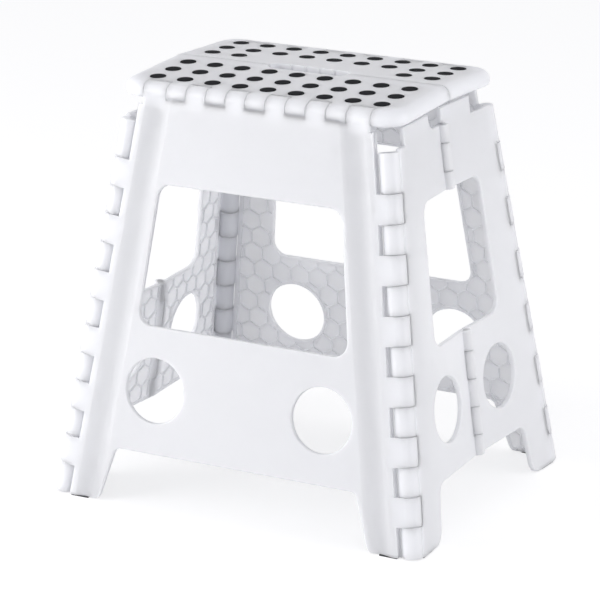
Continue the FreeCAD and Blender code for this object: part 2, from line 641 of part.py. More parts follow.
def top_panel(name, rear):
    """Top half with its nose knuckles, ears, hand slot and dot pockets."""
    seam = "Linkage.top_reach + Sizes.hinge_drop"
    nose = "-Sizes.hinge_depth"
    front = [("Sizes.top_half_width", nose), ("-Sizes.top_half_width", nose)]
    back = [("-Sizes.top_half_width", seam), ("Sizes.top_half_width", seam)]
    body, feature = slab(name, [front + back], [], "-Sizes.skirt_drop",
                         "Sizes.hinge_depth + Sizes.skirt_drop")
    feature = round_off(body, feature, upright_edges(feature.Shape, front), "Sizes.top_corner")
    for height, radius in (("Sizes.hinge_depth", "Sizes.top_nose"), ("-Sizes.skirt_drop", "Sizes.top_under")):
        edges = flat_edges(feature.Shape, value(height), value(seam))
        feature = round_off(body, feature, edges, radius)

    side = "Sizes.top_half_width - Sizes.top_nose - Sizes.border_wall"
    near = "Sizes.hinge_depth + Sizes.running_gap + Sizes.border_wall"
    far = "Linkage.top_reach - Sizes.grip_width"
    rim = far + " - Sizes.grip_groove - Sizes.border_wall"
    field = [("-(%s)" % side, near), (side, near), (side, rim), ("-(%s)" % side, rim)]
    depth = value("Sizes.hinge_depth + Sizes.skirt_drop - Sizes.skin_wall")
    cells = honeycomb(name + "_cells", body, -value("Sizes.skirt_drop"), depth, field)
    tools = knuckles(name + "_relief", nose_spans()[0::2], "Sizes.hinge_depth + Sizes.running_gap",
                     Placement(), ALONG_X, "-Sizes.axial_gap")
    axis = at(0, "Linkage.top_reach", "-Sizes.hinge_drop")
    tools += knuckles(name + "_ear_relief", ear_spans(not rear), "Sizes.ear_radius + Sizes.ear_gap",
                      axis, ALONG_X, "-Sizes.axial_gap")
    seam_place = top_place().inverse().multiply(Placement(
        Vector(-2 * value("Sizes.top_half_width"), -value("Sizes.seam_gap"), 0), Rotation()))
    long_side = "4 * Sizes.top_half_width"
    tools.append(block(name + "_seam", long_side, long_side, "2 * Sizes.total_height", seam_place))
    tall = "4 * Sizes.hinge_depth"
    under = "-2 * Sizes.hinge_depth"
    straight = "Sizes.grip_half - Sizes.grip_width"
    slot = [block(name + "_slot", "2 * (%s)" % straight, "4 * Sizes.grip_width", tall,
                  at("-(%s)" % straight, far, under))]
    for sign, word in ((1, "right"), (-1, "left")):
        slot.append(cylinder("%s_slot_%s" % (name, word), "Sizes.grip_width", tall,
                             at("%d * (%s)" % (sign, straight), "Linkage.top_reach", under)))
    if rear:
        for number in range(int(value("Sizes.grip_grooves"))):
            x = ("(%d - (Sizes.grip_grooves - 1) / 2) * Sizes.grip_pitch"
                 " - Sizes.grip_groove_width / 2") % number
            slot.append(block("%s_groove_%d" % (name, number + 1), "Sizes.grip_groove_width",
                              "2 * Sizes.grip_groove", tall, at(x, far + " - Sizes.grip_groove", under)))
    pockets = [cylinder("%s_pocket_%d" % (name, number), "Sizes.dot_radius + Sizes.dot_fit",
                        "2 * Sizes.dot_sink", at(x, y, "Sizes.hinge_depth - Sizes.dot_sink"))
               for number, (x, y) in enumerate(dot_places(rear), 1)]
    opened = cut(name + "_opened", body, [join(name + "_hand_slot", slot)])
    plain = cut(name + "_plain", opened, tools + pockets)

    lugs = knuckles(name + "_nose", nose_spans()[1::2], "Sizes.hinge_depth",
                    Placement(), ALONG_X, "Sizes.axial_gap")
    lugs += knuckles(name + "_ear", ear_spans(rear), "Sizes.ear_radius", axis, ALONG_X, "Sizes.axial_gap")
    whole = join(name + "_whole", [plain] + lugs)
    fit = "Sizes.pin_fit" if rear else "Sizes.loose_fit"
    bores = [cylinder(name + "_nose_bore", "Sizes.pin_radius + Sizes.pin_fit", "2 * Sizes.nose_half",
                      at("-Sizes.nose_half", 0, 0, ALONG_X))]
    for start, word in (("Sizes.ear_start", "right"), ("-Sizes.ear_end", "left")):
        bores.append(cylinder("%s_ear_bore_%s" % (name, word), "Sizes.pin_radius + %s" % fit,
                              "Sizes.ear_end - Sizes.ear_start - 2 * Sizes.pin_cover",
                              at(start + " + Sizes.pin_cover", "Linkage.top_reach", "-Sizes.hinge_drop",
                                 ALONG_X)))
    return cut(name + "_celled", cut(name + "_bored", whole, bores), [cells])


def dots(name, rear):
    """Rubber dots of a top half."""
    height = "Sizes.dot_sink + Sizes.dot_proud"
    return gather(name, [cylinder("%s_%d" % (name, number), "Sizes.dot_radius", height,
                                  at(x, y, "Sizes.hinge_depth - Sizes.dot_sink"))
                         for number, (x, y) in enumerate(dot_places(rear), 1)])


def leg_pad(label, side, place):
    """Rubber pad under one foot of a leg."""
    outer = "Sizes.corner_reach - Sizes.corner_relief / cos(Sizes.corner_splay)"
    inner = "Sizes.leg_foot_inner + Sizes.leg_foot_round"
    length = "%s - (%s) - 2 * Sizes.pad_inset" % (outer, inner)
    width = "Sizes.panel_thick / cos(Sizes.leg_splay) - 2 * Sizes.pad_inset"
    x = "%s + Sizes.pad_inset" % inner if side > 0 else "Sizes.pad_inset - (%s)" % outer
    y = "Sizes.pad_inset + Sizes.pad_thick * Linkage.leg_run - Sizes.foot_depth"
    pad = block(label, length, width, "Sizes.pad_thick", Placement())
    return finish(pad, label, place.multiply(at(x, y, 0)))


def half_pad(label, front, place):
    """Rubber pad under the foot of a side half."""
    frame = half_place(front)
    out = frame.Rotation.multVec(Vector(0, 0, 1))
    level = Vector(out.x, out.y, 0)
    thick = value("Sizes.panel_thick") / level.Length
    along = Vector(-out.y, out.x, 0).normalize()
    inner = "Linkage.half_width - Sizes.half_foot_width + Sizes.half_foot_round + Sizes.pad_inset"
    length = "Sizes.half_foot_width - Sizes.half_foot_round - Sizes.side_edge - 2 * Sizes.pad_inset"
    x = "-(Linkage.half_width - Sizes.side_edge - Sizes.pad_inset)" if front else inner
    foot = frame.multVec(Vector(value(x), 0, value("Linkage.inner_face")))
    up = frame.Rotation.multVec(Vector(0, 1, 0))
    foot += up * ((value("Sizes.pad_thick") - foot.z) / up.z)
    foot += level.normalize() * value("Sizes.pad_inset")
    foot.z = 0
    turn = Rotation(along, Vector(0, 0, 1).cross(along), Vector(0, 0, 1), "XZY")
    width = "%.6f - 2 * Sizes.pad_inset" % thick
    pad = block(label, length, width, "Sizes.pad_thick", Placement())
    start = foot + level.normalize() * (thick - 2 * value("Sizes.pad_inset"))
    return finish(pad, label, place.multiply(Placement(start, turn)))


def pin(label, length, place):
    """Plain steel hinge pin along Z of the placement, a little shorter than its bore."""
    wire = cylinder(label, "Sizes.pin_radius", length + " - 2 * Sizes.axial_gap", Placement())
    return finish(wire, label, place.multiply(at(0, 0, "Sizes.axial_gap")))


def build_legs():
    """Both legs with their pads and outer hinge pins."""
    master = leg_panel()
    for word, turn in (("front", Placement()), ("rear", HALF_TURN)):
        place = turn.multiply(leg_place())
        finish(gather(word + "_leg", [master]), word + "_leg_panel", place)
        length = "2 * (Sizes.nose_half - Sizes.pin_cover)"
        nose = at("Sizes.pin_cover - Sizes.nose_half", "Linkage.leg_pivot", 0, ALONG_X)
        pin(word + "_top_hinge_pin", length, place.multiply(nose))
        for side, hand in ((1, "right"), (-1, "left")):
            if word == "rear":
                hand = "left" if hand == "right" else "right"
            leg_pad("%s_leg_%s_foot_pad" % (word, hand), side, turn)
            start = Placement(Vector(0, value("Sizes.corner_first") / 2, 0), ALONG_Y)
            pin("%s_%s_corner_hinge_pin" % (word, hand),
                "Linkage.corner_top - Sizes.corner_first / 2 - Sizes.pin_cover",
                place.multiply(leg_corner(side)).multiply(start))


def build_sides():
    """Four side halves with their pads and centre hinge pins."""
    upper, lower = side_spans()
    own = upper[0::2] + lower[0::2]
    other = upper[1::2] + lower[1::2]
    notched, notched_cells = half_panel("notched_half", -1, own, other)
    plain, plain_cells = half_panel("plain_half", 1, other, own)
    loose = cut("loose_half", notched, centre_bores("loose_half", "Sizes.loose_fit"))
    tight = cut("tight_half", notched, centre_bores("tight_half", "Sizes.pin_fit"))
    straight = cut("straight_half", plain, centre_bores("straight_half", "Sizes.pin_fit"))
    shapes = {"right_front": cut("tight_celled", tight, [notched_cells]),
              "left_rear": cut("loose_celled", loose, [notched_cells]),
              "right_rear": cut("straight_celled", straight, [plain_cells])}
    shapes["left_front"] = shapes["right_rear"]
    for hand, turn in (("right", Placement()), ("left", HALF_TURN)):
        for word in ("front", "rear"):
            name = "%s_%s" % (hand, word)
            front = name in ("right_front", "left_rear")
            place = turn.multiply(half_place(front))
            finish(gather(name + "_half", [shapes[name]]), name + "_half_panel", place)
            half_pad(name + "_half_foot_pad", front, turn)
        centre = turn.multiply(half_place(True))
        for word, spans in (("upper", upper), ("lower", lower)):
            start = spans[0][0] + value("Sizes.pin_cover")
            length = "%.6f - 2 * Sizes.pin_cover" % (spans[-1][1] - spans[0][0])
            pin("%s_%s_side_hinge_pin" % (hand, word), length,
                centre.multiply(at(0, "%.6f" % start, "Linkage.centre_depth", ALONG_Y)))


def build_top():
    """Both top halves with their dots and centre hinge pins."""
    for word, rear, turn in (("front", False, Placement()), ("rear", True, HALF_TURN)):
        place = turn.multiply(top_place())
        finish(top_panel(word + "_top", rear), word + "_top_panel", place)
        finish(dots(word + "_dots", rear), word + "_top_dots", place)
    length = "Sizes.ear_end - Sizes.ear_start - 2 * Sizes.pin_cover"
    for start, hand in (("Sizes.ear_start", "right"), ("-Sizes.ear_end", "left")):
        spot = at(start + " + Sizes.pin_cover", "Linkage.top_reach", "-Sizes.hinge_drop", ALONG_X)
        pin(hand + "_top_centre_pin", length, top_place().multiply(spot))


def write_parts():
    """Check every object and write one file for each sub-part."""
    doc.recompute()
    for thing in doc.Objects:
        if "Invalid" in thing.State or "Error" in thing.State:
            raise RuntimeError("%s failed: %s" % (thing.Name, thing.State))
    os.makedirs("parts", exist_ok=True)
    for thing in parts:
        shape = thing.Shape
        if shape.isNull() or not shape.isValid() or not shape.Solids:
            raise RuntimeError("%s has no valid solid" % thing.Label)
        shape.exportStep("parts/%s.step" % thing.Label)
        print("%-32s %3d solid(s) %10.1f mm3" % (thing.Label, len(shape.Solids), shape.Volume))


sizes_sheet = fill_sheets()
build_legs()
build_sides()
build_top()
write_parts()
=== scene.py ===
"""Folding step stool in white moulded polypropylene, standing open in a plain studio.

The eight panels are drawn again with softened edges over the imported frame, the
rubber dots and foot pads are modelled anew on their seats, and the hinge pins
keep their frame meshes.  Lengths are metres; real sizes are given in MM.
"""
import json
import logging
import math
from dataclasses import dataclass, field
from enum import Enum

import bmesh
import bpy
from mathutils import Matrix, Vector
from mathutils.kdtree import KDTree

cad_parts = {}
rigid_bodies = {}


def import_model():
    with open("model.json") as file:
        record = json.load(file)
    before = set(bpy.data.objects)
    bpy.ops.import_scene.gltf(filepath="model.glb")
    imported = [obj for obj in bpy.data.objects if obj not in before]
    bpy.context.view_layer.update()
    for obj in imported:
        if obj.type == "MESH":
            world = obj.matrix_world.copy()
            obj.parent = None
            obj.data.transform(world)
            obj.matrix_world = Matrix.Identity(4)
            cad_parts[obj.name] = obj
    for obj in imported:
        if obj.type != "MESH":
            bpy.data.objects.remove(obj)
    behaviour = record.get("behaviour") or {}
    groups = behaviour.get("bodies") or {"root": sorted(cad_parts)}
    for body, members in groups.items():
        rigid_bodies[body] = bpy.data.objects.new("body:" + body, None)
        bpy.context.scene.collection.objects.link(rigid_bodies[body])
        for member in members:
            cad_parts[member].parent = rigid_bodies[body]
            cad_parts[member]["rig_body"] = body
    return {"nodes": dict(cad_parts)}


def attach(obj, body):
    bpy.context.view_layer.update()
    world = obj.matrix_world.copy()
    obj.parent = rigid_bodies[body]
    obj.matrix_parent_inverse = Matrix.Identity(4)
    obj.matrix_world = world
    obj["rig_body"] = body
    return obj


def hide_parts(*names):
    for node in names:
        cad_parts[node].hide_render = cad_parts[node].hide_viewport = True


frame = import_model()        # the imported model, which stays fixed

LOG = logging.getLogger("step_stool")
MM = 0.001
# A shader input that is used in full.
FULL = 1.0
# Place of the grained finish among a panel's materials, after the smooth one.
GRAINED_FACES = 1


class Slot(Enum):
    """Names of the material slots in the record; the pieces here are not dressed from them."""

    PANEL = "panel"
    TOP = "top_panel"
    DOT = "dot"
    PAD = "foot_pad"
    PIN = "hinge_pin"


def linear(colour: str) -> tuple[float, float, float, float]:
    """Turn an sRGB hex colour into linear light.

    Args:
        colour: six hex digits after a hash sign.

    Returns:
        Red, green, blue and an alpha of 1.
    """
    shares = [int(colour[start:start + 2], 16) / 255 for start in (1, 3, 5)]
    light = [share / 12.92 if share <= 0.04045 else ((share + 0.055) / 1.055) ** 2.4 for share in shares]
    return (*light, 1.0)


def add_node(
    tree: bpy.types.NodeTree, kind: str, settings: dict | None = None, links: dict | None = None
) -> bpy.types.Node:
    """Add a node with its settings and links.

    Args:
        tree: the node tree it goes into.
        kind: the node's type.
        settings: values by the name of a property, or by the name or number of an input.
        links: output sockets by the name or number of the input they feed.

    Returns:
        The new node.
    """
    node = tree.nodes.new(kind)
    for key, setting in (settings or {}).items():
        if isinstance(key, str) and hasattr(node, key):
            setattr(node, key, setting)
        else:
            node.inputs[key].default_value = setting
    for key, socket in (links or {}).items():
        tree.links.new(socket, node.inputs[key])
    return node


def new_material(name: str) -> bpy.types.Material:
    """Make a material with an empty node tree.

    Args:
        name: the material's name.

    Returns:
        The material.
    """
    material = bpy.data.materials.new(name)
    material.use_nodes = True
    material.node_tree.nodes.clear()
    return material


def dress(piece: bpy.types.Object, *materials: bpy.types.Material) -> None:
    """Give a piece its materials in order, in place of those it had.

    Args:
        piece: the object to dress.
        materials: one material for each slot.
    """
    piece.data.materials.clear()
    for material in materials:
        piece.data.materials.append(material)


@dataclass(frozen=True)
class MouldedPolypropylene:
    """White polypropylene from a fine spark-eroded mould.

    It gives the eye a soft, even white with a satin gloss, a very fine tooth
    that breaks the highlights up, and a faint cloudiness from the melt flow.
    """

    name: str = "polypropylene_moulded_white"
    colour: str = "#eeeff4"
    cloud_colour: str = "#e9eaef"
    cloud_size: float = 60 * MM
    cloud_detail: float = 3.0
    # The tooth is about 0.1 mm; it is drawn coarser, so that it shows in the render.
    tooth_size: float = 0.8 * MM
    tooth_detail: float = 2.0
    tooth_depth: float = 0.012 * MM
    gloss_low: float = 0.34
    gloss_high: float = 0.46
    refraction: float = 1.49
    # Some light enters the milky plastic and leaves the thin walls on their other side.
    milky_share: float = 0.95
    milky_depth: float = 16 * MM
    milky_spread: tuple[float, float, float] = (1.0, 1.0, 1.0)

    def build(self) -> bpy.types.Material:
        """Make the material.

        Returns:
            The material.
        """
        material = new_material(self.name)
        tree = material.node_tree
        place = add_node(tree, "ShaderNodeTexCoord").outputs["Object"]
        cloud = add_node(
            tree,
            "ShaderNodeTexNoise",
            {"Scale": 1 / self.cloud_size, "Detail": self.cloud_detail},
            {"Vector": place},
        )
        tooth = add_node(
            tree,
            "ShaderNodeTexNoise",
            {"Scale": 1 / self.tooth_size, "Detail": self.tooth_detail},
            {"Vector": place},
        )
        tone = add_node(
            tree,
            "ShaderNodeMix",
            {"data_type": "RGBA", 6: linear(self.colour), 7: linear(self.cloud_colour)},
            {0: cloud.outputs[0]},
        )
        gloss = add_node(
            tree,
            "ShaderNodeMapRange",
            {"To Min": self.gloss_low, "To Max": self.gloss_high},
            {"Value": cloud.outputs[0]},
        )
        relief = add_node(
            tree,
            "ShaderNodeBump",
            {"Strength": FULL, "Distance": self.tooth_depth},
            {"Height": tooth.outputs[0]},
        )
        shader = add_node(
            tree,
            "ShaderNodeBsdfPrincipled",
            {
                "IOR": self.refraction,
                "Subsurface Weight": self.milky_share,
                "Subsurface Radius": self.milky_spread,
                "Subsurface Scale": self.milky_depth,
            },
            {
                "Base Color": tone.outputs[2],
                "Roughness": gloss.outputs[0],
                "Normal": relief.outputs[0],
            },
        )
        add_node(tree, "ShaderNodeOutputMaterial", None, {"Surface": shader.outputs[0]})
        return material


@dataclass(frozen=True)
class PebbledPolypropylene:
    """The same polypropylene where the mould is etched with a pebble grain, on the tread of the top.

    It gives the eye a dull, slightly greyer white with small rounded bumps
    whose valleys hold a little painted shade, a darker colour drawn into them.
    """

    name: str = "polypropylene_pebble_grained"
    colour: str = "#ebecf1"
    # Painted shade: the darker colour drawn into the valleys between the pebbles.
    valley_shade_colour: str = "#d5d6dc"
    # The pebbles are about 0.6 mm; they are drawn coarser, so that they show in the render.
    pebble_size: float = 1.7 * MM
    pebble_depth: float = 0.10 * MM
    pebble_softness: float = 0.4
    roughness: float = 0.8
    refraction: float = 1.49
    # The grain shades itself at low angles and gives back less sheen than its refraction alone would.
    sheen_share: float = 0.25

    def build(self) -> bpy.types.Material:
        """Make the material.

        Returns:
            The material.
        """
        material = new_material(self.name)
        tree = material.node_tree
        place = add_node(tree, "ShaderNodeTexCoord").outputs["Object"]
        pebbles = add_node(
            tree,
            "ShaderNodeTexVoronoi",
            {
                "feature": "SMOOTH_F1",
                "Scale": 1 / self.pebble_size,
                "Smoothness": self.pebble_softness,
            },
            {"Vector": place},
        )
        # Painted shade: the colour turns darker towards the valleys of the grain.
        tone = add_node(
            tree,
            "ShaderNodeMix",
            {"data_type": "RGBA", 6: linear(self.colour), 7: linear(self.valley_shade_colour)},
            {0: pebbles.outputs["Distance"]},
        )
        relief = add_node(
            tree,
            "ShaderNodeBump",
            {"invert": True, "Strength": FULL, "Distance": self.pebble_depth},
            {"Height": pebbles.outputs["Distance"]},
        )
        shader = add_node(
            tree,
            "ShaderNodeBsdfPrincipled",
            {
                "IOR": self.refraction,
                "Roughness": self.roughness,
                "Specular IOR Level": self.sheen_share,
            },
            {"Base Color": tone.outputs[2], "Normal": relief.outputs[0]},
        )
        add_node(tree, "ShaderNodeOutputMaterial", None, {"Surface": shader.outputs[0]})
        return material


@dataclass(frozen=True)
class MouldedRubber:
    """Soft thermoplastic rubber from a matt mould.

    It gives the eye a deep, dull surface with a faint bloom and a fine
    sandy tooth.
    """

    name: str
    colour: str
    bloom_colour: str
    bloom_size: float = 6 * MM
    bloom_detail: float = 4.0
    # The tooth is about 0.05 mm; it is drawn coarser, so that it shows in the render.
    tooth_size: float = 0.5 * MM
    tooth_detail: float = 2.0
    tooth_depth: float = 0.02 * MM
    gloss_low: float = 0.72
    gloss_high: float = 0.86
    refraction: float = 1.5
    # The dusty skin of soft rubber gives back little of the sheen that its refraction alone would.
    sheen_share: float = 0.07

    def build(self) -> bpy.types.Material:
        """Make the material.

        Returns:
            The material.
        """
        material = new_material(self.name)
        tree = material.node_tree
        place = add_node(tree, "ShaderNodeTexCoord").outputs["Object"]
        bloom = add_node(
            tree,
            "ShaderNodeTexNoise",
            {"Scale": 1 / self.bloom_size, "Detail": self.bloom_detail},
            {"Vector": place},
        )
        tooth = add_node(
            tree,
            "ShaderNodeTexNoise",
            {"Scale": 1 / self.tooth_size, "Detail": self.tooth_detail},
            {"Vector": place},
        )
        tone = add_node(
            tree,
            "ShaderNodeMix",
            {"data_type": "RGBA", 6: linear(self.colour), 7: linear(self.bloom_colour)},
            {0: bloom.outputs[0]},
        )
        gloss = add_node(
            tree,
            "ShaderNodeMapRange",
            {"To Min": self.gloss_low, "To Max": self.gloss_high},
            {"Value": bloom.outputs[0]},
        )
        relief = add_node(
            tree,
            "ShaderNodeBump",
            {"Strength": FULL, "Distance": self.tooth_depth},
            {"Height": tooth.outputs[0]},
        )
        shader = add_node(
            tree,
            "ShaderNodeBsdfPrincipled",
            {"IOR": self.refraction, "Specular IOR Level": self.sheen_share},
            {
                "Base Color": tone.outputs[2],
                "Roughness": gloss.outputs[0],
                "Normal": relief.outputs[0],
            },
        )
        add_node(tree, "ShaderNodeOutputMaterial", None, {"Surface": shader.outputs[0]})
        return material


@dataclass(frozen=True)
class DrawnSteel:
    """Bright steel wire, drawn through a die.

    It gives the eye a clean metal with a soft gloss that varies along fine
    scratches.
    """

    name: str = "steel_drawn_wire"
    colour: str = "#b8bbc0"
    scratch_size: float = 0.4 * MM
    scratch_detail: float = 3.0
    gloss_low: float = 0.22
    gloss_high: float = 0.40

    def build(self) -> bpy.types.Material:
        """Make the material.

        Returns:
            The material.
        """
        material = new_material(self.name)
        tree = material.node_tree
        place = add_node(tree, "ShaderNodeTexCoord").outputs["Object"]
        scratches = add_node(
            tree,
            "ShaderNodeTexNoise",
            {"Scale": 1 / self.scratch_size, "Detail": self.scratch_detail},
            {"Vector": place},
        )
        gloss = add_node(
            tree,
            "ShaderNodeMapRange",
            {"To Min": self.gloss_low, "To Max": self.gloss_high},
            {"Value": scratches.outputs[0]},
        )
        shader = add_node(
            tree,
            "ShaderNodeBsdfPrincipled",
            {"Base Color": linear(self.colour), "Metallic": FULL},
            {"Roughness": gloss.outputs[0]},
        )
        add_node(tree, "ShaderNodeOutputMaterial", None, {"Surface": shader.outputs[0]})
        return material


@dataclass(frozen=True)
class StudioPaper:
    """Seamless white background paper under the stool.

    Seen by the camera it is white, and holds a part of the stool's shadow.
    """

    name: str = "paper_seamless_white"
    colour: str = "#f4f4f5"
    # The share of the picture that the lit paper makes; the rest is an even white.
    shadow_share: float = 0.5
    white_strength: float = 1.3

    def build(self) -> bpy.types.Material:
        """Make the material.

        Returns:
            The material.
        """
        material = new_material(self.name)
        tree = material.node_tree
        paper = add_node(tree, "ShaderNodeBsdfDiffuse", {"Color": linear(self.colour)})
        glow = add_node(tree, "ShaderNodeEmission", {"Strength": self.white_strength})
        lit = add_node(
            tree,
            "ShaderNodeMixShader",
            {0: self.shadow_share},
            {1: glow.outputs[0], 2: paper.outputs[0]},
        )
        seen = seen_directly(tree)
        shown = add_node(
            tree, "ShaderNodeMixShader", None, {0: seen, 1: paper.outputs[0], 2: lit.outputs[0]}
        )
        add_node(tree, "ShaderNodeOutputMaterial", None, {"Surface": shown.outputs[0]})
        return material


def seen_directly(tree: bpy.types.NodeTree) -> bpy.types.NodeSocket:
    """Tell the rays that show a background from those that light the stool.

    Args:
        tree: the node tree that asks.

    Returns:
        A socket that is 1 for camera, mirror and see-through rays.
    """
    path = add_node(tree, "ShaderNodeLightPath")
    glossy = add_node(
        tree,
        "ShaderNodeMath",
        {"operation": "MAXIMUM"},
        {0: path.outputs["Is Camera Ray"], 1: path.outputs["Is Glossy Ray"]},
    )
    clear = add_node(
        tree,
        "ShaderNodeMath",
        {"operation": "MAXIMUM"},
        {0: glossy.outputs[0], 1: path.outputs["Is Transmission Ray"]},
    )
    return clear.outputs[0]


def merged_copy(node: str) -> bmesh.types.BMesh:
    """Copy a frame node's loose triangles and join them into whole flat faces.

    Args:
        node: the node's name.

    Returns:
        A closed mesh at the node's place.
    """
    weld = 0.01 * MM
    flat = math.radians(0.5)
    mesh = bmesh.new()
    mesh.from_mesh(frame["nodes"][node].data)
    bmesh.ops.remove_doubles(mesh, verts=mesh.verts, dist=weld)
    bmesh.ops.dissolve_limit(mesh, angle_limit=flat, verts=mesh.verts, edges=mesh.edges)
    return mesh


def new_piece(name: str, mesh: bmesh.types.BMesh, node: str) -> bpy.types.Object:
    """Turn a mesh into a piece that stands for a node and rides on its body.

    Args:
        name: the piece's name.
        mesh: its shape, in place; it is freed.
        node: the node that the piece stands for.

    Returns:
        The piece, linked to the scene.
    """
    data = bpy.data.meshes.new(name)
    mesh.to_mesh(data)
    mesh.free()
    piece = bpy.data.objects.new(name, data)
    bpy.context.scene.collection.objects.link(piece)
    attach(piece, frame["nodes"][node]["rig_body"])
    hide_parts(node)
    LOG.info("%s: %d faces, stands for %s", name, len(data.polygons), node)
    return piece


@dataclass
class Panels:
    """The moulded panels, drawn again with the small radii that a mould leaves on edges."""

    smooth: bpy.types.Material
    grained: bpy.types.Material
    edge_radius: float = 0.5 * MM
    edge_segments: int = 2
    sharp_angle: float = math.radians(32)
    # Edges that still turn by more than this after the rounding are creases to the light.
    crease_angle: float = math.radians(45)
    # Edges shorter than this, or with a face narrower than this beside them, stay sharp.
    least_room: float = 0.6 * MM
    # Edges this close to a face that their rounding would fold over stay sharp, too.
    fold_reach: float = 1.5 * MM
    least_fold: float = 0.2 * MM * MM
    most_turn: float = math.cos(math.radians(75))
    tries: int = 6
    weld: float = 0.005 * MM
    flat_weight: int = 100
    tread_tolerance: float = 0.05 * MM
    level: float = math.cos(math.radians(8))
    names: list[str] = field(
        default_factory=lambda: [
            "front_leg_panel",
            "rear_leg_panel",
            "right_front_half_panel",
            "right_rear_half_panel",
            "left_rear_half_panel",
            "left_front_half_panel",
            "front_top_panel",
            "rear_top_panel",
        ]
    )

    def build(self) -> list[bpy.types.Object]:
        """Make all panels.

        Returns:
            The pieces.
        """
        return [self.panel(node) for node in self.names]

    def panel(self, node: str) -> bpy.types.Object:
        """Make one panel.

        Args:
            node: the node that it stands for.

        Returns:
            The piece.
        """
        mesh = merged_copy(node)
        is_top = "top" in node
        if is_top:
            self.mark_tread(mesh)
        mesh = self.round_edges(mesh)
        self.mark_creases(mesh)
        piece = new_piece(node.replace("_panel", "_moulding"), mesh, node)
        dress(piece, self.smooth, self.grained)
        flats = piece.modifiers.new("flat_faces", "WEIGHTED_NORMAL")
        flats.keep_sharp = True
        flats.weight = self.flat_weight
        return piece

    def round_edges(self, plain: bmesh.types.BMesh) -> bmesh.types.BMesh:
        """Round the sharp edges, and leave those sharp whose rounding would fold a face over.

        Args:
            plain: the panel's mesh; it is freed.

        Returns:
            The rounded mesh.
        """
        folds: list[Vector] = []
        trials: list[tuple[int, bmesh.types.BMesh]] = []
        while len(trials) < self.tries:
            mesh = plain.copy()
            self.bevel(mesh, folds)
            found = self.folded_corners(mesh)
            trials.append((len(found), mesh))
            if not found:
                break
            folds += found
        plain.free()
        trials.sort(key=lambda trial: trial[0])
        for _, spare in trials[1:]:
            spare.free()
        LOG.info("edges rounded in %d tries, %d folded corners left", len(trials), trials[0][0])
        return trials[0][1]

    def folded_corners(self, mesh: bmesh.types.BMesh) -> list[Vector]:
        """Find where faces overlap themselves.

        Args:
            mesh: the rounded mesh.

        Returns:
            The corners of the triangles that are turned over or steeply out of their face.
        """
        mesh.normal_update()
        corners = []
        for triangle in mesh.calc_loop_triangles():
            first, second, third = (loop.vert.co for loop in triangle)
            across = (second - first).cross(third - first) / 2
            turn = across.normalized().dot(triangle[0].face.normal)
            if across.length > self.least_fold and turn < self.most_turn:
                corners += [first.copy(), second.copy(), third.copy()]
        return corners

    def bevel(self, mesh: bmesh.types.BMesh, folds: list[Vector]) -> None:
        """Round the sharp edges that have room for a radius and are away from known folds.

        Args:
            mesh: the panel's mesh.
            folds: the corners of folds that an earlier try has made.
        """
        known = KDTree(len(folds))
        for number, corner in enumerate(folds):
            known.insert(corner, number)
        known.balance()
        roomy = set()
        for edge in mesh.edges:
            near = any(known.find_range(vert.co, self.fold_reach) for vert in edge.verts)
            if self.has_room(edge) and not near:
                roomy.add(edge)
        rounded = []
        for edge in mesh.edges:
            beside = {other for vert in edge.verts for other in vert.link_edges}
            if edge in roomy and all(other in roomy or self.is_long(other) for other in beside):
                rounded.append(edge)
        bmesh.ops.bevel(
            mesh,
            geom=rounded,
            affect="EDGES",
            offset=self.edge_radius,
            segments=self.edge_segments,
            profile=0.5,
            material=-1,
            clamp_overlap=False,
            loop_slide=False,
        )
        bmesh.ops.dissolve_degenerate(mesh, edges=mesh.edges, dist=self.weld)

    def mark_creases(self, mesh: bmesh.types.BMesh) -> None:
        """Shade all faces smooth but for the creases between them.

        Args:
            mesh: the panel's mesh.
        """
        for face in mesh.faces:
            face.smooth = True
        for edge in mesh.edges:
            edge.smooth = edge.calc_face_angle(0) < self.crease_angle
        # A crease that ends at a corner would not part the light there, so the next steepest
        # edge goes with it.
        ends = []
        for vert in mesh.verts:
            steep = sorted(vert.link_edges, key=lambda edge: edge.calc_face_angle(0))
            if len(steep) > 2 and not steep[-1].smooth and steep[-2].smooth:
                ends.append(steep[-2])
        for edge in ends:
            edge.smooth = False

    def is_long(self, edge: bmesh.types.BMEdge) -> bool:
        """Tell whether an edge is longer than a radius needs.

        Args:
            edge: the edge.

        Returns:
            True if it is.
        """
        return edge.calc_length() > self.least_room

    def has_room(self, edge: bmesh.types.BMEdge) -> bool:
        """Tell whether an edge is sharp, and both faces at it are wide enough for a radius.

        Args:
            edge: the edge.

        Returns:
            True if it is.
        """
        length = edge.calc_length()
        narrow = any(face.calc_area() < self.least_room * length for face in edge.link_faces)
        return edge.calc_face_angle(0) > self.sharp_angle and self.is_long(edge) and not narrow

    def mark_tread(self, mesh: bmesh.types.BMesh) -> None:
        """Put the grained finish on the flat tread of a top half.

        Args:
            mesh: the top half's mesh.
        """
        upward = [face for face in mesh.faces if face.normal.z > self.level]
        tread = max(upward, key=lambda face: face.calc_area())
        height = tread.normal.dot(tread.verts[0].co)
        for face in upward:
            if all(abs(tread.normal.dot(vert.co) - height) < self.tread_tolerance for vert in face.verts):
                face.material_index = GRAINED_FACES


